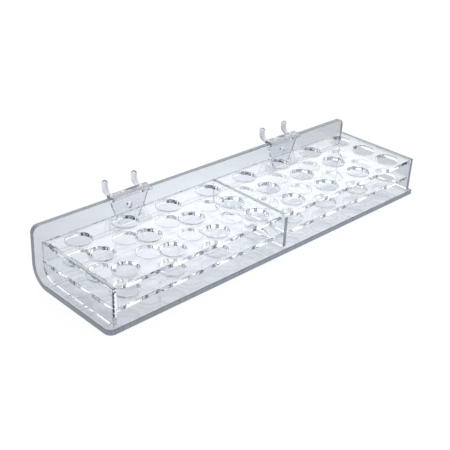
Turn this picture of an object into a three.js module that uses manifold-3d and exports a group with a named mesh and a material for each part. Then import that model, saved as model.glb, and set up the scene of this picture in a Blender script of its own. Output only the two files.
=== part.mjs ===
// A clear acrylic tube tray with two removable peg hooks.
// Millimetres. +X runs along the tray to its right end, +Y back to the board that it hangs on, +Z up.
// The origin is on the underside of the base, at the middle of the bent sheet's length and depth.
import * as THREE from "three";
import { mergeVertices } from "three/addons/utils/BufferGeometryUtils.js";
import Module from "manifold-3d";

// Sheet stock: one thickness for the shelves and uprights, a heavier one for the bent sheet
const SHEET = 3;
const BENT_SHEET = 4;

// Bent sheet: the base that the tubes stand on and the panel behind them, in one piece
const SHEET_LENGTH = 310;
const BASE_DEPTH = 81;
const PANEL_TOP = 42;
const BEND_OUTER_RADIUS = 15;
const CORNER_RADIUS = 5;

// The shelves and end plates stand on the base: off its left end, behind its front edge and clear
// of the panel
const LEFT_MARGIN = 5.2;
const FRONT_MARGIN = 3.2;
const REAR_GAP = 0.6;
const TRAY_TOP = 30.4;
const MID_SHELF_TOP = 16;
const BEND_CLEARANCE = 0.5;

// Grid of tube holes
const COLUMNS = 8;
const ROWS = 3;
const COLUMN_PITCH = 38.1;
const ROW_PITCH = 24.3;
const HOLE_DIAMETER = 17.8;
const FIRST_COLUMN_INSET = 20.6;
const FRONT_ROW_INSET = 13.4;

// Peg hooks, which straddle the panel's top edge
const HOOK_CENTRES = { left_hook: -75.7, right_hook: 80.8 };
const HOOK_CLEARANCE = 0.15;
const HOOK_HALF_WIDTH = 17;
const HOOK_FOOT_HALF_WIDTH = 8.5;
const HOOK_DROP = 24;
const HOOK_FOOT_RADIUS = 3;
const HOOK_PLATE = 2.2;
const HOOK_LIP = 1.1;
const HOOK_LIP_DROP = 1.8;
const HOOK_SCREW_HOLE = 5;
const HOOK_SCREW_DROP = 10.3;
const PRONG_SPACING = 25.4;
const PRONG_DIAMETER = 4.2;
const PRONG_DROP = 2.4;
const PRONG_REACH = 10;
const PRONG_BEND_RADIUS = 6.5;
const PRONG_TIP_RISE = 8.5;

// Smoothness of the faceted curves: segments in a hole, in a quarter bend and round a prong
const HOLE_SEGMENTS = 24;
const BEND_SEGMENTS = 8;
const PRONG_SEGMENTS = 12;
const PRONG_STEPS = 14;

// Places worked out from the sizes above
const LEFT_EDGE = -SHEET_LENGTH / 2;
const RIGHT_EDGE = SHEET_LENGTH / 2;
const FRONT_EDGE = -BASE_DEPTH / 2;
const REAR_FACE = BASE_DEPTH / 2;
const PANEL_FACE = REAR_FACE - BENT_SHEET;
const TRAY_LEFT = LEFT_EDGE + LEFT_MARGIN;
const TRAY_FRONT = FRONT_EDGE + FRONT_MARGIN;
const TRAY_REAR = PANEL_FACE - REAR_GAP;
const SHELF_LEFT = TRAY_LEFT + SHEET;
const SHELF_RIGHT = RIGHT_EDGE - SHEET;
const DIVIDER_LEFT = (TRAY_LEFT + RIGHT_EDGE - SHEET) / 2;

const SHEET_COLOUR = 0xe3ebf2;
const HOOK_COLOUR = 0xdde3ec;

const wasm = await Module();
wasm.setup();

// The closed geometry as a solid that can be cut and joined.
function toSolid(geometry) {
  const plain = geometry.index ? geometry.toNonIndexed() : geometry.clone();
  plain.deleteAttribute("normal");
  plain.deleteAttribute("uv");
  const merged = mergeVertices(plain, 1e-4);
  const vertProperties = merged.attributes.position.array;
  const triVerts = new Uint32Array(merged.index.array);
  return new wasm.Manifold(new wasm.Mesh({ numProp: 3, vertProperties, triVerts }));
}

function toGeometry(solid) {
  const mesh = solid.getMesh();
  const geometry = new THREE.BufferGeometry();
  geometry.setAttribute("position", new THREE.BufferAttribute(mesh.vertProperties, 3));
  geometry.setIndex(new THREE.BufferAttribute(mesh.triVerts, 1));
  geometry.computeVertexNormals();
  return geometry;
}

// An outline extruded by a thickness, straight up from the plane that it is drawn in.
function extrude(shape, depth, curveSegments = BEND_SEGMENTS / 2) {
  return new THREE.ExtrudeGeometry(shape, { depth, curveSegments, bevelEnabled: false });
}

// A side outline, drawn as (y, z), extruded along +X from x = 0.
function extrudeAlongX(shape, length) {
  const basis = new THREE.Matrix4().makeBasis(
    new THREE.Vector3(0, 1, 0),
    new THREE.Vector3(0, 0, 1),
    new THREE.Vector3(1, 0, 0),
  );
  return extrude(shape, length).applyMatrix4(basis);
}

// A front outline, drawn as (x, z), extruded along +Y from y = 0.
function extrudeAlongY(shape, depth, curveSegments) {
  const basis = new THREE.Matrix4().makeBasis(
    new THREE.Vector3(1, 0, 0),
    new THREE.Vector3(0, 0, 1),
    new THREE.Vector3(0, -1, 0),
  );
  return extrude(shape, depth, curveSegments).translate(0, 0, -depth).applyMatrix4(basis);
}

// What a rounded corner takes off: the square left over outside a quarter circle. The corner is at the
// drawing's origin and the sheet lies towards (sx, sy).
function cornerWaste(radius, sx, sy) {
  const over = 1;
  const shape = new THREE.Shape();
  shape.moveTo(-over * sx, -over * sy);
  shape.lineTo(radius * sx, -over * sy);
  shape.lineTo(radius * sx, 0);
  for (let i = 1; i < BEND_SEGMENTS; i += 1) {
    const angle = (i / BEND_SEGMENTS) * (Math.PI / 2);
    shape.lineTo((radius - radius * Math.sin(angle)) * sx, (radius - radius * Math.cos(angle)) * sy);
  }
  shape.lineTo(0, radius * sy);
  shape.lineTo(-over * sx, radius * sy);
  return shape;
}

// Base and panel, cut as one rectangle, corners rounded, then heated and bent along one line.
function bentSheet() {
  const centreY = REAR_FACE - BEND_OUTER_RADIUS;
  const centreZ = BEND_OUTER_RADIUS;
  const shape = new THREE.Shape();
  shape.moveTo(FRONT_EDGE, 0);
  shape.lineTo(centreY, 0);
  shape.absarc(centreY, centreZ, BEND_OUTER_RADIUS, -Math.PI / 2, 0, false);
  shape.lineTo(REAR_FACE, PANEL_TOP);
  shape.lineTo(PANEL_FACE, PANEL_TOP);
  shape.absarc(centreY, centreZ, BEND_OUTER_RADIUS - BENT_SHEET, 0, -Math.PI / 2, true);
  shape.lineTo(FRONT_EDGE, BENT_SHEET);
  const sheet = extrudeAlongX(shape, SHEET_LENGTH).translate(LEFT_EDGE, 0, 0);
  const through = BENT_SHEET + 2;
  const topLeft = extrudeAlongY(cornerWaste(CORNER_RADIUS, 1, -1), through);
  const topRight = extrudeAlongY(cornerWaste(CORNER_RADIUS, -1, -1), through);
  const frontLeft = extrude(cornerWaste(CORNER_RADIUS, 1, 1), through);
  topLeft.translate(LEFT_EDGE, PANEL_FACE - 1, PANEL_TOP);
  topRight.translate(RIGHT_EDGE, PANEL_FACE - 1, PANEL_TOP);
  frontLeft.translate(LEFT_EDGE, FRONT_EDGE, -1);
  const wastes = [topLeft, topRight, frontLeft].map(toSolid);
  return toGeometry(wastes.reduce((solid, waste) => solid.subtract(waste), toSolid(sheet)));
}

// A flat plate from x = left to x = right, with a hole wherever a column falls inside it.
function holedPlate(left, right) {
  const shape = new THREE.Shape();
  shape.moveTo(left, TRAY_FRONT);
  shape.lineTo(right, TRAY_FRONT);
  shape.lineTo(right, TRAY_REAR);
  shape.lineTo(left, TRAY_REAR);
  shape.closePath();
  for (let column = 0; column < COLUMNS; column += 1) {
    const x = TRAY_LEFT + FIRST_COLUMN_INSET + column * COLUMN_PITCH;
    for (let row = 0; row < ROWS && x > left && x < right; row += 1) {
      const y = TRAY_FRONT + FRONT_ROW_INSET + row * ROW_PITCH;
      const hole = new THREE.Path();
      hole.absarc(x, y, HOLE_DIAMETER / 2, 0, 2 * Math.PI, true);
      shape.holes.push(hole);
    }
  }
  return extrude(shape, SHEET, HOLE_SEGMENTS / 2);
}

// An upright plate that stands on the base, with its lower rear corner cut to clear the bend.
function uprightPlate(top) {
  const radius = BEND_OUTER_RADIUS - BENT_SHEET + BEND_CLEARANCE;
  const centreY = PANEL_FACE - radius;
  const end = -Math.acos((TRAY_REAR - centreY) / radius);
  const shape = new THREE.Shape();
  shape.moveTo(TRAY_FRONT, BENT_SHEET);
  shape.lineTo(centreY, BENT_SHEET);
  shape.absarc(centreY, BENT_SHEET + radius, radius, -Math.PI / 2, end, false);
  shape.lineTo(TRAY_REAR, top);
  shape.lineTo(TRAY_FRONT, top);
  return extrudeAlongX(shape, SHEET);
}

// The hook's own frame: x = 0 at its middle, y = 0 on the panel's rear face, z = 0 on the panel's top edge.
const PLATE_FRONT = HOOK_CLEARANCE;
const PLATE_REAR = HOOK_CLEARANCE + HOOK_PLATE;

// The centre line of a prong: straight back from the plate, a quarter bend, then straight up.
class ProngLine extends THREE.Curve {
  getPoint(t, target = new THREE.Vector3()) {
    const start = PLATE_REAR - HOOK_PLATE / 2;
    const back = PRONG_REACH - PRONG_BEND_RADIUS - start;
    const bend = (PRONG_BEND_RADIUS * Math.PI) / 2;
    const up = PRONG_TIP_RISE - PRONG_DIAMETER / 2 + PRONG_DROP - PRONG_BEND_RADIUS;
    const along = t * (back + bend + up);
    if (along <= back) return target.set(0, start + along, -PRONG_DROP);
    if (along >= back + bend) {
      return target.set(0, PRONG_REACH, -PRONG_DROP + PRONG_BEND_RADIUS + along - back - bend);
    }
    const angle = (along - back) / PRONG_BEND_RADIUS;
    return target.set(
      0,
      PRONG_REACH - PRONG_BEND_RADIUS + PRONG_BEND_RADIUS * Math.sin(angle),
      -PRONG_DROP + PRONG_BEND_RADIUS - PRONG_BEND_RADIUS * Math.cos(angle),
    );
  }
}

function prong(x) {
  const section = new THREE.Shape();
  section.absarc(0, 0, PRONG_DIAMETER / 2, 0, 2 * Math.PI, false);
  const rod = new THREE.ExtrudeGeometry(section, {
    steps: PRONG_STEPS,
    curveSegments: PRONG_SEGMENTS / 2,
    extrudePath: new ProngLine(),
  });
  const tip = new THREE.SphereGeometry(PRONG_DIAMETER / 2, PRONG_SEGMENTS, PRONG_SEGMENTS / 2);
  tip.rotateX(Math.PI / 2).translate(0, PRONG_REACH, PRONG_TIP_RISE - PRONG_DIAMETER / 2);
  return toSolid(rod.translate(x, 0, 0)).add(toSolid(tip.translate(x, 0, 0)));
}

// The tapered plate behind the panel, with a screw hole in its middle.
function hookPlate() {
  const top = HOOK_CLEARANCE + HOOK_LIP;
  const shape = new THREE.Shape();
  shape.moveTo(-HOOK_FOOT_HALF_WIDTH + HOOK_FOOT_RADIUS, -HOOK_DROP);
  shape.lineTo(HOOK_FOOT_HALF_WIDTH - HOOK_FOOT_RADIUS, -HOOK_DROP);
  shape.quadraticCurveTo(
    HOOK_FOOT_HALF_WIDTH,
    -HOOK_DROP,
    HOOK_FOOT_HALF_WIDTH + 1,
    -HOOK_DROP + HOOK_FOOT_RADIUS,
  );
  shape.lineTo(HOOK_HALF_WIDTH, -HOOK_LIP_DROP);
  shape.lineTo(HOOK_HALF_WIDTH, top);
  shape.lineTo(-HOOK_HALF_WIDTH, top);
  shape.lineTo(-HOOK_HALF_WIDTH, -HOOK_LIP_DROP);
  shape.lineTo(-HOOK_FOOT_HALF_WIDTH - 1, -HOOK_DROP + HOOK_FOOT_RADIUS);
  shape.quadraticCurveTo(
    -HOOK_FOOT_HALF_WIDTH,
    -HOOK_DROP,
    -HOOK_FOOT_HALF_WIDTH + HOOK_FOOT_RADIUS,
    -HOOK_DROP,
  );
  const hole = new THREE.Path();
  hole.absarc(0, -HOOK_SCREW_DROP, HOOK_SCREW_HOLE / 2, 0, 2 * Math.PI, true);
  shape.holes.push(hole);
  return extrudeAlongY(shape, HOOK_PLATE, PRONG_SEGMENTS / 2).translate(0, PLATE_FRONT, 0);
}

// The channel that straddles the panel's top edge, from the plate behind to a short lip in front.
function hookSaddle() {
  const front = -BENT_SHEET - HOOK_CLEARANCE;
  const top = HOOK_CLEARANCE + HOOK_LIP;
  const shape = new THREE.Shape();
  shape.moveTo(PLATE_REAR, -HOOK_LIP_DROP);
  shape.lineTo(PLATE_REAR, top);
  shape.lineTo(front - HOOK_LIP, top);
  shape.lineTo(front - HOOK_LIP, -HOOK_LIP_DROP);
  shape.lineTo(front, -HOOK_LIP_DROP);
  shape.lineTo(front, HOOK_CLEARANCE);
  shape.lineTo(PLATE_FRONT, HOOK_CLEARANCE);
  shape.lineTo(PLATE_FRONT, -HOOK_LIP_DROP);
  return extrudeAlongX(shape, 2 * HOOK_HALF_WIDTH).translate(-HOOK_HALF_WIDTH, 0, 0);
}

// One moulded hook: plate, saddle and two prongs.
function hook() {
  const body = toSolid(hookPlate()).add(toSolid(hookSaddle()));
  const prongs = [-PRONG_SPACING / 2, PRONG_SPACING / 2].map(prong);
  return toGeometry(prongs.reduce((solid, one) => solid.add(one), body));
}

function acrylic(color) {
  return new THREE.MeshStandardMaterial({
    color,
    roughness: 0.05,
    metalness: 0,
    transparent: true,
    opacity: 0.35,
  });
}

const tray = new THREE.Group();

function piece(name, geometry, color, x = 0, y = 0, z = 0) {
  const mesh = new THREE.Mesh(geometry, acrylic(color));
  mesh.name = name;
  mesh.position.set(x, y, z);
  tray.add(mesh);
}

piece("back_base_sheet", bentSheet(), SHEET_COLOUR);

const midLevel = MID_SHELF_TOP - SHEET;
const topLevel = TRAY_TOP - SHEET;
piece("mid_shelf_left", holedPlate(SHELF_LEFT, DIVIDER_LEFT), SHEET_COLOUR, 0, 0, midLevel);
piece("mid_shelf_right", holedPlate(DIVIDER_LEFT + SHEET, SHELF_RIGHT), SHEET_COLOUR, 0, 0, midLevel);
piece("top_plate", holedPlate(SHELF_LEFT, SHELF_RIGHT), SHEET_COLOUR, 0, 0, topLevel);

piece("left_end_plate", uprightPlate(TRAY_TOP), SHEET_COLOUR, TRAY_LEFT);
piece("right_end_plate", uprightPlate(TRAY_TOP), SHEET_COLOUR, SHELF_RIGHT);
piece("centre_divider", uprightPlate(topLevel), SHEET_COLOUR, DIVIDER_LEFT);

for (const [name, x] of Object.entries(HOOK_CENTRES)) {
  piece(name, hook(), HOOK_COLOUR, x, REAR_FACE, PANEL_TOP);
}

export default tray;
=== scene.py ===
from math import cos, pi, radians, sin

import bmesh
import bpy
from mathutils import Matrix, Vector


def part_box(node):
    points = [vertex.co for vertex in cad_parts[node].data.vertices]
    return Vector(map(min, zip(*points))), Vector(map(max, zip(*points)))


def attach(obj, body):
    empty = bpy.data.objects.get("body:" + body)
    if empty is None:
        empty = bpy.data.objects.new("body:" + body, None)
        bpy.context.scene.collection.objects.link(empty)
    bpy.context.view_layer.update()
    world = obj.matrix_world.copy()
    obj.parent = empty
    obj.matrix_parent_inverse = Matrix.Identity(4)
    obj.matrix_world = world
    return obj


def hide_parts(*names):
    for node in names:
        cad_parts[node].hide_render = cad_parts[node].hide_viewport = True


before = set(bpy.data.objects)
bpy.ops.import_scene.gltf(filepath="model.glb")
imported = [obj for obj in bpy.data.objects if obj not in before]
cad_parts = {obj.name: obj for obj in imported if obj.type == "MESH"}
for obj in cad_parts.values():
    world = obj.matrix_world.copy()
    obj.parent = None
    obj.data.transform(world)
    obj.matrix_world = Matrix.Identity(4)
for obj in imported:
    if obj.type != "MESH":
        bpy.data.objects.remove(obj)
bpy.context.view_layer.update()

mm = 0.001


# ---------------------------------------------------------------------------------------------------
# Back and base sheet: one rectangle of 4 mm cast acrylic, corners rounded on the router, then heated
# along one line and bent up into a shallow L. Everything else is cemented to its base or hangs on its
# top edge.

bent_sheet = 4 * mm
bend_outer_radius = 15 * mm
bend_steps = 32
corner_radius = 5 * mm
corner_steps = 12
edge_break = 0.18 * mm


def linear(hex_colour):
    """An sRGB hex colour as the linear RGBA that shaders take."""
    parts = [int(hex_colour[i : i + 2], 16) / 255 for i in (1, 3, 5)]
    return [c / 12.92 if c <= 0.04045 else ((c + 0.055) / 1.055) ** 2.4 for c in parts] + [1.0]


def add_node(tree, kind, settings=None, values=None, links=None):
    """Adds a node with its settings, its plain input values, and its links from other sockets."""
    node = tree.nodes.new(kind)
    for name, setting in (settings or {}).items():
        setattr(node, name, setting)
    for name, value in (values or {}).items():
        node.inputs[name].default_value = value
    for name, socket in (links or {}).items():
        tree.links.new(socket, node.inputs[name])
    return node


def clear_plastic(name, ior, clearness, surface_tint, tint, tint_density):
    """A see-through plastic that bends light at its surface and tints it inside by the way it travels."""
    material = bpy.data.materials.new(name)
    material.use_nodes = True
    tree = material.node_tree
    shader = tree.nodes["Principled BSDF"]
    shader.inputs["Base Color"].default_value = linear(surface_tint)
    shader.inputs["IOR"].default_value = ior
    shader.inputs["Transmission Weight"].default_value = clearness
    absorb = add_node(
        tree,
        "ShaderNodeVolumeAbsorption",
        values={"Color": linear(tint), "Density": tint_density},
    )
    tree.links.new(absorb.outputs["Volume"], tree.nodes["Material Output"].inputs["Volume"])
    return material


def finish_surface(material, stretch, detail, relief, roughness):
    """Gives a plastic its relief and its spread of roughness, from one noise in the piece's own space."""
    tree = material.node_tree
    shader = tree.nodes["Principled BSDF"]
    place = add_node(tree, "ShaderNodeTexCoord")
    lie = add_node(
        tree,
        "ShaderNodeMapping",
        values={"Scale": stretch},
        links={"Vector": place.outputs["Object"]},
    )
    grain = add_node(
        tree,
        "ShaderNodeTexNoise",
        values={"Scale": 1, "Detail": detail},
        links={"Vector": lie.outputs["Vector"]},
    )
    raised = add_node(
        tree,
        "ShaderNodeBump",
        values={"Strength": 1, "Distance": relief},
        links={"Height": grain.outputs["Fac"]},
    )
    spread = add_node(
        tree,
        "ShaderNodeMapRange",
        values={"From Min": 0.3, "From Max": 0.7, "To Min": roughness[0], "To Max": roughness[1]},
        links={"Value": grain.outputs["Fac"]},
    )
    tree.links.new(raised.outputs["Normal"], shader.inputs["Normal"])
    tree.links.new(spread.outputs["Result"], shader.inputs["Roughness"])
    return grain


# Cast acrylic, polished: clear through its face and cool grey along its length. Its very slight
# waviness bends the outlines seen through it, so that no line behind it is quite ruled.
cast_acrylic = clear_plastic("cast_acrylic", 1.49, 1.0, "#fcfdfe", "#dbe3ec", 11)
finish_surface(cast_acrylic, (22, 22, 22), 1, 0.04 * mm, (0.0, 0.015))

# The sawn outline of the bent sheet, scraped and not polished: a matt, cool mid grey band round a
# nearly colourless sheet. The saw's strokes cross its thickness and break the band up very finely.
sawn_edge = clear_plastic("sawn_acrylic_edge", 1.49, 0.3, "#a9b1bd", "#dbe3ec", 11)
strokes = finish_surface(sawn_edge, (1400, 1400, 60), 3, 0.01 * mm, (0.25, 0.45))
tree = sawn_edge.node_tree
greys = add_node(tree, "ShaderNodeValToRGB", links={"Fac": strokes.outputs["Fac"]})
greys.color_ramp.elements[0].position = 0.3
greys.color_ramp.elements[0].color = linear("#a0a8b5")
greys.color_ramp.elements[1].position = 0.7
greys.color_ramp.elements[1].color = linear("#bdc4cf")
tree.links.new(greys.outputs["Color"], tree.nodes["Principled BSDF"].inputs["Base Color"])


def break_edges(bm, width, sharper_than=40, steps=1):
    """Takes the sharpness off every corner edge, as scraping and flame polishing do."""
    sharp = [e for e in bm.edges if e.is_manifold and e.calc_face_angle() > radians(sharper_than)]
    bmesh.ops.bevel(
        bm, geom=sharp, offset=width, segments=steps, profile=0.5, affect="EDGES", material=-1,
    )


def make_piece(name, bm, materials, body, node):
    """Turns a finished bmesh into the piece that stands for a CAD node and moves with its body."""
    bmesh.ops.recalc_face_normals(bm, faces=bm.faces[:])
    mesh = bpy.data.meshes.new(name)
    bm.to_mesh(mesh)
    bm.free()
    mesh.shade_smooth()
    mesh.set_sharp_from_angle(angle=radians(30))
    for material in materials:
        mesh.materials.append(material)
    piece = bpy.data.objects.new(name, mesh)
    bpy.context.scene.collection.objects.link(piece)
    even = piece.modifiers.new("even_normals", "WEIGHTED_NORMAL")
    even.keep_sharp = True
    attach(piece, body)
    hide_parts(node)
    return piece


def draw_on(bm, rim):
    """Grows a skirt of faces from an open rim, and returns its new rim with the vertices still to move."""
    grown = bmesh.ops.extrude_edge_only(bm, edges=rim)["geom"]
    verts = [g for g in grown if isinstance(g, bmesh.types.BMVert)]
    new_rim = [g for g in grown if isinstance(g, bmesh.types.BMEdge) and set(g.verts) <= set(verts)]
    return new_rim, verts


def draw_straight(bm, rim, shift):
    new_rim, verts = draw_on(bm, rim)
    bmesh.ops.translate(bm, verts=verts, vec=shift)
    return new_rim


def draw_round(bm, rim, centre, steps):
    """Draws a rim round a quarter bend about a line along X."""
    spun = bmesh.ops.spin(
        bm,
        geom=rim,
        cent=centre,
        axis=(1, 0, 0),
        angle=radians(90),
        steps=steps,
        use_merge=False,
        use_duplicate=False,
    )
    return [g for g in spun["geom_last"] if isinstance(g, bmesh.types.BMEdge)]


def close_ends(bm):
    """Puts a face in every open loop and turns all faces outwards."""
    bmesh.ops.holes_fill(bm, edges=[e for e in bm.edges if e.is_boundary], sides=0)
    bmesh.ops.recalc_face_normals(bm, faces=bm.faces[:])


def outline(bm, corners):
    """A closed loop of edges through these corners."""
    verts = [bm.verts.new(c) for c in corners]
    return [bm.edges.new(pair) for pair in zip(verts, verts[1:] + verts[:1])]


low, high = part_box("back_base_sheet")
bend_y = high.y - bend_outer_radius
bend_z = low.z + bend_outer_radius
support = 0.4 * mm
bm = bmesh.new()
rim = outline(
    bm,
    [
        (low.x, low.y, low.z),
        (high.x, low.y, low.z),
        (high.x, low.y, low.z + bent_sheet),
        (low.x, low.y, low.z + bent_sheet),
    ],
)
rim = draw_straight(bm, rim, (0, bend_y - support - low.y, 0))
rim = draw_straight(bm, rim, (0, support, 0))
rim = draw_round(bm, rim, (0, bend_y, bend_z), bend_steps)
rim = draw_straight(bm, rim, (0, 0, support))
draw_straight(bm, rim, (0, 0, high.z - bend_z - support))
close_ends(bm)


def through_edges(bm, corners, axis, reach):
    """The edges through the sheet, along axis, within reach of any of these corners."""
    found = []
    for e in bm.edges:
        a, b = e.verts[0].co, e.verts[1].co
        if abs((b - a).normalized()[axis]) > 0.99:
            middle = (a + b) / 2
            if any((middle - Vector(c)).length < reach for c in corners):
                found.append(e)
    return found


panel_middle = high.y - bent_sheet / 2
panel_corners = [(low.x, panel_middle, high.z), (high.x, panel_middle, high.z)]
base_corner = [(low.x, low.y, low.z + bent_sheet / 2)]
rounded = through_edges(bm, panel_corners, 1, bent_sheet)
rounded += through_edges(bm, base_corner, 2, bent_sheet)
bmesh.ops.bevel(
    bm,
    geom=rounded,
    offset=corner_radius,
    segments=corner_steps,
    profile=0.5,
    affect="EDGES",
    material=-1,
)
bmesh.ops.recalc_face_normals(bm, faces=bm.faces[:])
touch = 0.01 * mm
for face in bm.faces:
    middle = face.calc_center_median()
    at_rim = middle.z > high.z - touch or middle.y < low.y + touch
    face.material_index = int(at_rim or abs(face.normal.x) > 0.02)
break_edges(bm, edge_break)
make_piece(
    "bent_sheet", bm, [cast_acrylic, sawn_edge], "tray", "back_base_sheet"
)


# ---------------------------------------------------------------------------------------------------
# Shelves: flat plates of 3 mm cast acrylic, with a round hole routed for each tube. The top plate runs
# the whole length; below it a shelf on each side of the divider steadies the tubes at half height.

hole_radius = 8.9 * mm
hole_sides = 96
first_hole = Vector((-129.2, -23.9, 0)) * mm
column_pitch = 38.1 * mm
row_pitch = 24.3 * mm
joint_gap = 0.03 * mm


def cell_lines(start, stop, centres):
    """The lines midway between neighbouring hole centres, with the plate's own edges at the ends."""
    middles = [(a + b) / 2 for a, b in zip(centres, centres[1:])]
    return [start] + middles + [stop]


def holed_plate(low, high, columns):
    """A plate built from one cell for each hole: a square ring bridged to a circle, then thickened."""
    xs = [first_hole.x + column_pitch * c for c in columns]
    ys = [first_hole.y + row_pitch * r for r in range(3)]
    x_lines = cell_lines(low.x, high.x, xs)
    y_lines = cell_lines(low.y, high.y, ys)
    bm = bmesh.new()
    for x, left, right in zip(xs, x_lines, x_lines[1:]):
        for y, front, rear in zip(ys, y_lines, y_lines[1:]):
            corners = [(left, front), (right, front), (right, rear), (left, rear)]
            cell = bm.faces.new([bm.verts.new((u, v, low.z)) for u, v in corners])
            cut = bmesh.ops.subdivide_edges(bm, edges=cell.edges[:], cuts=hole_sides // 4 - 1)
            frame_face = [g for g in cut["geom"] if isinstance(g, bmesh.types.BMFace)]
            face = frame_face[0] if frame_face else cell
            square = face.edges[:]
            bmesh.ops.delete(bm, geom=[face], context="FACES_ONLY")
            ring = bmesh.ops.create_circle(
                bm,
                segments=hole_sides,
                radius=hole_radius,
                matrix=Matrix.Translation((x, y, low.z)) @ Matrix.Rotation(pi / 4, 4, "Z"),
            )
            circle = list({e for v in ring["verts"] for e in v.link_edges})
            bmesh.ops.bridge_loops(bm, edges=square + circle)
    bmesh.ops.remove_doubles(bm, verts=bm.verts[:], dist=0.01 * mm)
    bmesh.ops.recalc_face_normals(bm, faces=bm.faces[:])
    thick = bmesh.ops.extrude_face_region(bm, geom=bm.faces[:])
    top = [g for g in thick["geom"] if isinstance(g, bmesh.types.BMVert)]
    bmesh.ops.translate(bm, verts=top, vec=(0, 0, high.z - low.z))
    bmesh.ops.recalc_face_normals(bm, faces=bm.faces[:])
    break_edges(bm, edge_break)
    return bm


for name, node, columns in (
    ("top_shelf", "top_plate", range(8)),
    ("lower_shelf_left", "mid_shelf_left", range(4)),
    ("lower_shelf_right", "mid_shelf_right", range(4, 8)),
):
    low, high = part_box(node)
    ends = Vector((joint_gap, 0, 0))
    bm = holed_plate(low + ends, high - ends, columns)
    make_piece(name, bm, [cast_acrylic], "tray", node)


# ---------------------------------------------------------------------------------------------------
# Uprights: an end plate at each end and a divider in the middle, cut from 3 mm sheet and cemented to
# the base and the shelves. The lower rear corner is cut round to clear the bend. The left end's edges
# are polished, and the other two keep matt sawn edges at top and front.

bend_clearance = 0.5 * mm
panel_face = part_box("back_base_sheet")[1].y - bent_sheet


def trim(bm, through, outwards):
    """Saws off whatever lies beyond a plane and closes the cut."""
    bmesh.ops.bisect_plane(
        bm,
        geom=bm.verts[:] + bm.edges[:] + bm.faces[:],
        dist=0.001 * mm,
        plane_co=through,
        plane_no=outwards,
        clear_outer=True,
    )
    close_ends(bm)


def upright(low, high):
    """A plate standing on edge: a full rectangle with its corner rounded, then trimmed at the rear."""
    radius = bend_outer_radius - bent_sheet + bend_clearance
    bm = bmesh.new()
    rim = outline(
        bm,
        [
            (low.x, low.y, low.z),
            (low.x, panel_face, low.z),
            (low.x, panel_face, high.z),
            (low.x, low.y, high.z),
        ],
    )
    draw_straight(bm, rim, (high.x - low.x, 0, 0))
    close_ends(bm)
    corner = through_edges(bm, [((low.x + high.x) / 2, panel_face, low.z)], 0, high.x - low.x)
    bmesh.ops.bevel(
        bm,
        geom=corner,
        offset=radius,
        segments=bend_steps,
        profile=0.5,
        affect="EDGES",
        material=-1,
    )
    trim(bm, (0, high.y, 0), (0, 1, 0))
    break_edges(bm, edge_break)
    return bm


for name, node, top_gap, as_sawn in (
    ("left_end", "left_end_plate", 0, False),
    ("right_end", "right_end_plate", 0, True),
    ("divider", "centre_divider", joint_gap, True),
):
    low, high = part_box(node)
    low.z += joint_gap
    high.z -= top_gap
    bm = upright(low, high)
    for face in bm.faces:
        face.material_index = int(as_sawn and (face.normal.z > 0.5 or face.normal.y < -0.5))
    make_piece(name, bm, [cast_acrylic, sawn_edge], "tray", node)


# ---------------------------------------------------------------------------------------------------
# Peg hooks: clear polycarbonate mouldings. A channel straddles the panel's top edge and slides along
# it, a tapered plate hangs behind the panel, and two round prongs turn up into the board's holes.

plate_thickness = 2.2 * mm
lip_thickness = 1.1 * mm
lip_drop = 1.8 * mm
foot_half_width = 9.5 * mm
foot_rise = 3 * mm
foot_radius = 2.5 * mm
screw_radius = 2.5 * mm
screw_drop = 10.3 * mm
prong_spacing = 25.4 * mm
prong_radius = 2.1 * mm
prong_drop = 2.4 * mm
prong_bend = 6.5 * mm
prong_sides = 32
prong_bend_steps = 16
dome_steps = 7

# Polycarbonate, moulded: it bends light a little more than acrylic, so its rods read darker at the
# tips and along both sides.
polycarbonate = clear_plastic("moulded_polycarbonate", 1.585, 1.0, "#fcfcfe", "#cdd3de", 45)
finish_surface(polycarbonate, (120, 120, 60), 1, 0.01 * mm, (0.01, 0.06))


def open_face(bm, face, circles, normal):
    """Takes a flat face away and fills the plane again around circles standing in it."""
    border = face.edges[:]
    bmesh.ops.delete(bm, geom=[face], context="FACES_ONLY")
    turn = Matrix.Rotation(radians(90), 4, "X")
    rings = []
    for centre, radius in circles:
        ring = bmesh.ops.create_circle(
            bm, segments=prong_sides, radius=radius, matrix=Matrix.Translation(centre) @ turn
        )
        rings.append(list({e for v in ring["verts"] for e in v.link_edges}))
    bmesh.ops.triangle_fill(
        bm,
        use_beauty=True,
        use_dissolve=False,
        edges=border + [e for ring in rings for e in ring],
        normal=normal,
    )
    return rings


def prong(bm, rim, root, bend_centre, tip_z):
    """Draws a ring of edges out as a prong: back from the plate, round the bend, up, and domed over."""
    rim = draw_straight(bm, rim, (0, bend_centre.y - root.y, 0))
    rim = draw_round(bm, rim, bend_centre, prong_bend_steps)
    crown = Vector((root.x, bend_centre.y + prong_bend, tip_z - prong_radius))
    rim = draw_straight(bm, rim, (0, 0, crown.z - bend_centre.z))
    shrunk = 1
    for k in range(1, dome_steps):
        angle = radians(90) * k / dome_steps
        rim, verts = draw_on(bm, rim)
        ratio = cos(angle) / shrunk
        shrunk = cos(angle)
        bmesh.ops.scale(
            bm, verts=verts, vec=(ratio, ratio, 1), space=Matrix.Translation(-crown)
        )
        rise = prong_radius * (sin(angle) - sin(angle - radians(90) / dome_steps))
        bmesh.ops.translate(bm, verts=verts, vec=(0, 0, rise))
    rim, verts = draw_on(bm, rim)
    bmesh.ops.pointmerge(bm, verts=verts, merge_co=crown + Vector((0, 0, prong_radius)))


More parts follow.
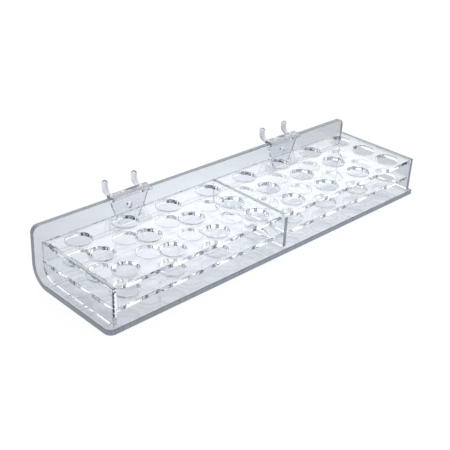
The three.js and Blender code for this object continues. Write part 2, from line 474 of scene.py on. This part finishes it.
def peg_hook(low, high):
    """One moulding, from its CAD box: the channel and plate as one profile, then the holes and prongs."""
    middle = (low.x + high.x) / 2
    top_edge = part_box("back_base_sheet")[1]
    front = low.y
    clearance = panel_face - front - lip_thickness
    plate_front = top_edge.y + clearance
    plate_rear = plate_front + plate_thickness
    inside_top = top_edge.z + clearance
    top = inside_top + lip_thickness
    lip_bottom = top_edge.z - lip_drop
    bm = bmesh.new()
    profile = [
        (plate_front, low.z),
        (plate_rear, low.z),
        (plate_rear, top),
        (front, top),
        (front, lip_bottom),
        (front + lip_thickness, lip_bottom),
        (front + lip_thickness, inside_top),
        (plate_front, inside_top),
    ]
    rim = outline(bm, [(low.x, y, z) for y, z in profile])
    draw_straight(bm, rim, (high.x - low.x, 0, 0))
    close_ends(bm)
    half = (high.x - low.x) / 2
    rise = lip_bottom - (low.z + foot_rise)
    for way in (-1, 1):
        trim(
            bm,
            (middle + way * half, 0, lip_bottom),
            (way * rise, 0, -(half - foot_half_width)),
        )
    foot = [
        e for e in bm.edges
        if abs((e.verts[1].co - e.verts[0].co).normalized().y) > 0.99
        and max(v.co.z for v in e.verts) < low.z + 0.01 * mm
    ]
    bmesh.ops.bevel(
        bm, geom=foot, offset=foot_radius, segments=8, profile=0.5, affect="EDGES", material=-1
    )
    break_edges(bm, 0.25 * mm, steps=2)
    screw_z = top_edge.z - screw_drop
    roots = [
        Vector((middle + way * prong_spacing / 2, plate_rear, top_edge.z - prong_drop))
        for way in (-1, 1)
    ]

    def flat_face(y, normal_y):
        faces = [f for f in bm.faces if abs(f.calc_center_median().y - y) < 0.01 * mm
                 and f.normal.y * normal_y > 0.99]
        return max(faces, key=lambda f: f.calc_area())

    rear_rings = open_face(
        bm,
        flat_face(plate_rear, 1),
        [(root, prong_radius) for root in roots] + [(Vector((middle, plate_rear, screw_z)), screw_radius)],
        (0, 1, 0),
    )
    front_rings = open_face(
        bm,
        flat_face(plate_front, -1),
        [(Vector((middle, plate_front, screw_z)), screw_radius)],
        (0, -1, 0),
    )
    bmesh.ops.bridge_loops(bm, edges=rear_rings[2] + front_rings[0])
    bend_y = high.y - prong_radius - prong_bend
    for root, ring in zip(roots, rear_rings):
        prong(bm, ring, root, Vector((root.x, bend_y, root.z + prong_bend)), high.z)
    return bm


for name, node, body in (
    ("peg_hook_left", "left_hook", "left_hook"),
    ("peg_hook_right", "right_hook", "right_hook"),
):
    low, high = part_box(node)
    make_piece(name, peg_hook(low, high), [polycarbonate], body, node)


# ---------------------------------------------------------------------------------------------------
# Studio: a pale floor that glows by itself, with a painted pool of light under the tray, in a room whose
# far wall glows and whose near side is dark. Clear plastic shows this room and the painted pool, so the
# glow whitens each shelf and the dark side draws each edge. Matt surfaces get an even soft light
# instead, and to the eye itself floor and wall are plain white.

floor_half = 6.0
floor_drop = 0.05 * mm
pool_middle = Vector((20, 55, 0)) * mm
pool_width = 360 * mm
pool_depth = 250 * mm

bm = bmesh.new()
bmesh.ops.create_grid(
    bm,
    x_segments=1,
    y_segments=1,
    size=floor_half,
    matrix=Matrix.Translation((0, 0, -floor_drop)),
)
mesh = bpy.data.meshes.new("floor")
bm.to_mesh(mesh)
bm.free()
floor = bpy.data.objects.new("floor", mesh)
bpy.context.scene.collection.objects.link(floor)
paper = bpy.data.materials.new("white_paper")
paper.use_nodes = True
tree = paper.node_tree
tree.nodes.clear()
place = add_node(tree, "ShaderNodeTexCoord")
pool = add_node(
    tree,
    "ShaderNodeMapping",
    values={
        "Location": (-pool_middle.x / pool_width, -pool_middle.y / pool_depth, 0),
        "Scale": (1 / pool_width, 1 / pool_depth, 1),
    },
    links={"Vector": place.outputs["Object"]},
)
# Painted light: to rays that come through or off the plastic, the floor glows brightest in a round pool
# under the tray and dimmer outwards; camera rays see it evenly bright.
spot = add_node(
    tree, "ShaderNodeTexGradient", {"gradient_type": "SPHERICAL"}, links={"Vector": pool.outputs[0]}
)
glow = add_node(
    tree,
    "ShaderNodeMapRange",
    values={"To Min": 0.22, "To Max": 0.98},
    links={"Value": spot.outputs["Fac"]},
)
matt = add_node(
    tree, "ShaderNodeBsdfDiffuse", values={"Color": (0.15, 0.15, 0.15, 1)}
)
painted_pool_glow = add_node(
    tree,
    "ShaderNodeEmission",
    values={"Color": linear("#f0f6fd")},
    links={"Strength": glow.outputs["Result"]},
)
bright = add_node(tree, "ShaderNodeEmission", values={"Strength": 0.9})
ray = add_node(tree, "ShaderNodeLightPath")
lit = add_node(
    tree,
    "ShaderNodeMixShader",
    links={0: ray.outputs["Is Camera Ray"], 1: painted_pool_glow.outputs[0], 2: bright.outputs[0]},
)
whole = add_node(tree, "ShaderNodeAddShader", links={0: matt.outputs[0], 1: lit.outputs[0]})
soft = add_node(tree, "ShaderNodeEmission", values={"Strength": 0.8})
shown = add_node(
    tree,
    "ShaderNodeMixShader",
    links={0: ray.outputs["Is Diffuse Ray"], 1: whole.outputs[0], 2: soft.outputs[0]},
)
add_node(tree, "ShaderNodeOutputMaterial", links={"Surface": shown.outputs[0]})
mesh.materials.append(paper)

world = bpy.data.worlds.new("white_room")
bpy.context.scene.world = world
world.use_nodes = True
tree = world.node_tree
tree.nodes.clear()
place = add_node(tree, "ShaderNodeTexCoord")
parts = add_node(tree, "ShaderNodeSeparateXYZ", links={"Vector": place.outputs["Generated"]})


def height_ramp(stops):
    """A grey by the sine of the height above the horizon, in parts of the brightest light."""
    node = add_node(tree, "ShaderNodeValToRGB", links={"Fac": parts.outputs["Z"]})
    elements = node.color_ramp.elements
    while len(elements) < len(stops):
        elements.new(0.5)
    for element, (at, level) in zip(elements, stops):
        element.position = at
        element.color = (level, level, level, 1)
    return node


brightest = 2.4
far_wall = height_ramp([(0.0, 0.58), (0.15, 0.69), (0.6, 0.69), (0.8, 0.56), (1.0, 0.56)])
near_side = height_ramp([(0.0, 0.25), (0.12, 0.1), (0.2, 0.015), (0.75, 0.015), (0.85, 0.6), (1.0, 0.6)])
away = add_node(
    tree,
    "ShaderNodeVectorMath",
    {"operation": "DOT_PRODUCT"},
    {1: (0.716, 0.698, 0.0)},
    {0: place.outputs["Generated"]},
)
share = add_node(
    tree,
    "ShaderNodeMapRange",
    {"interpolation_type": "SMOOTHSTEP"},
    {"From Min": 0.3, "From Max": 0.7},
    {"Value": away.outputs["Value"]},
)
walls = add_node(
    tree,
    "ShaderNodeMix",
    {"data_type": "RGBA"},
    links={0: share.outputs["Result"], 6: near_side.outputs["Color"], 7: far_wall.outputs["Color"]},
)
room = add_node(
    tree,
    "ShaderNodeBackground",
    values={"Strength": brightest},
    links={"Color": walls.outputs[2]},
)
backdrop = add_node(tree, "ShaderNodeBackground", values={"Color": (1, 1, 1, 1)})
ray = add_node(tree, "ShaderNodeLightPath")
seen = add_node(
    tree,
    "ShaderNodeMixShader",
    links={0: ray.outputs["Is Camera Ray"], 1: room.outputs[0], 2: backdrop.outputs[0]},
)
soft = add_node(tree, "ShaderNodeBackground", values={"Strength": 0.85})
lit = add_node(
    tree,
    "ShaderNodeMixShader",
    links={0: ray.outputs["Is Diffuse Ray"], 1: seen.outputs["Shader"], 2: soft.outputs[0]},
)
add_node(tree, "ShaderNodeOutputWorld", links={"Surface": lit.outputs["Shader"]})


# ---------------------------------------------------------------------------------------------------
# Camera: a long lens from the front left, a little above, turned slightly clockwise.

aim = Vector((-2.75, 17.26, 0.4)) * mm
distance = 638.99 * mm
azimuth = radians(-45.70)
elevation = radians(28.13)
roll = radians(3.08)
back = Vector((sin(azimuth) * cos(elevation), -cos(azimuth) * cos(elevation), sin(elevation)))
lens = bpy.data.cameras.new("camera")
lens.lens = 68.27
lens.sensor_width = 36
camera = bpy.data.objects.new("camera", lens)
bpy.context.scene.collection.objects.link(camera)
camera.location = aim + back * distance
camera.rotation_mode = "QUATERNION"
camera.rotation_quaternion = back.to_track_quat("Z", "Y") @ Matrix.Rotation(roll, 4, "Z").to_quaternion()
bpy.context.scene.camera = camera
bpy.context.scene.view_settings.view_transform = "Standard"
cycles = bpy.context.scene.cycles
cycles.max_bounces = 32
cycles.transmission_bounces = 32
cycles.glossy_bounces = 16
cycles.transparent_max_bounces = 16
cycles.diffuse_bounces = 3
